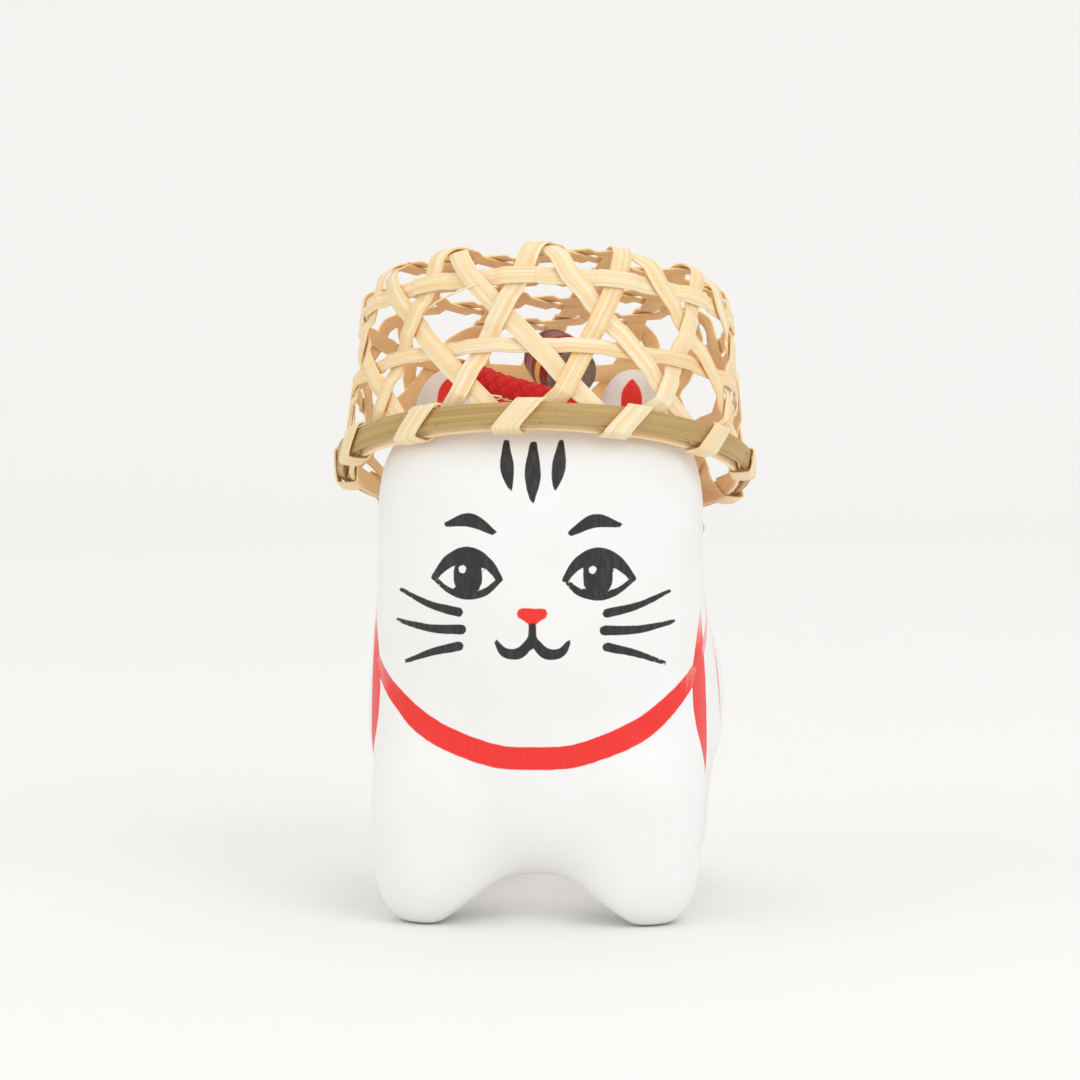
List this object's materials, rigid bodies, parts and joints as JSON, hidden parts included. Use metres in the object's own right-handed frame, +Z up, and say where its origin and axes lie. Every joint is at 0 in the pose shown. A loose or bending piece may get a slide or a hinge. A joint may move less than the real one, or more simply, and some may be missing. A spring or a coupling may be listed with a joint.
{
  "type": "papier mache cat",
  "caption": "White papier mache cat on short legs that wears a loose hexagonal weave bamboo basket as a hat, with a red cord and a small toy drum on its crown.",
  "frame": {"origin": "on the ground under the middle of the standing figure's box", "axes": "+Z up, the cat faces -Y, +X is the cat's left side"},
  "size_m": [0.0736, 0.0912, 0.1156],
  "materials": {
    "paper": "chalk white paint over layered paper",
    "cord": "braided red cord",
    "lacquer": "turned wood with painted rings",
    "hide": "thin drum hide",
    "bamboo": "split bamboo",
    "rim_skin": "brown bamboo skin"
  },
  "bodies": {
    "cat": {"body_left_half": "paper", "body_right_half": "paper", "seam_paper_band": "paper", "ear_left": "paper", "ear_right": "paper", "tail": "paper", "red_cord": "cord", "cord_knot_crown": "cord", "cord_knot_nape": "cord"},
    "basket": {"weave_strip_01": "bamboo", "weave_strip_02": "bamboo", "weave_strip_03": "bamboo", "weave_strip_04": "bamboo", "weave_strip_05": "bamboo", "weave_strip_06": "bamboo", "weave_strip_07": "bamboo", "weave_strip_08": "bamboo", "weave_strip_09": "bamboo", "weave_strip_10": "bamboo", "weave_strip_11": "bamboo", "weave_strip_12": "bamboo", "upper_ring": "bamboo", "lower_ring": "bamboo", "outer_rim_hoop": "rim_skin", "inner_rim_hoop": "bamboo"},
    "drum": {"drum_barrel": "lacquer", "drum_front_skin": "hide", "drum_rear_skin": "hide", "drum_stick": "bamboo"}
  },
  "joints": [
    {"name": "basket_lift", "type": "slide", "parent": "cat", "child": "basket", "axis": [0, 0.309, 0.9511], "range_m": [0, 0.06]},
    {"name": "drum_turn", "type": "hinge", "parent": "cat", "child": "drum", "pos_m": [0.0026, -0.00828, 0.09379], "axis": [-0.11, -0.462, 0.88], "continuous": true}
  ]
}
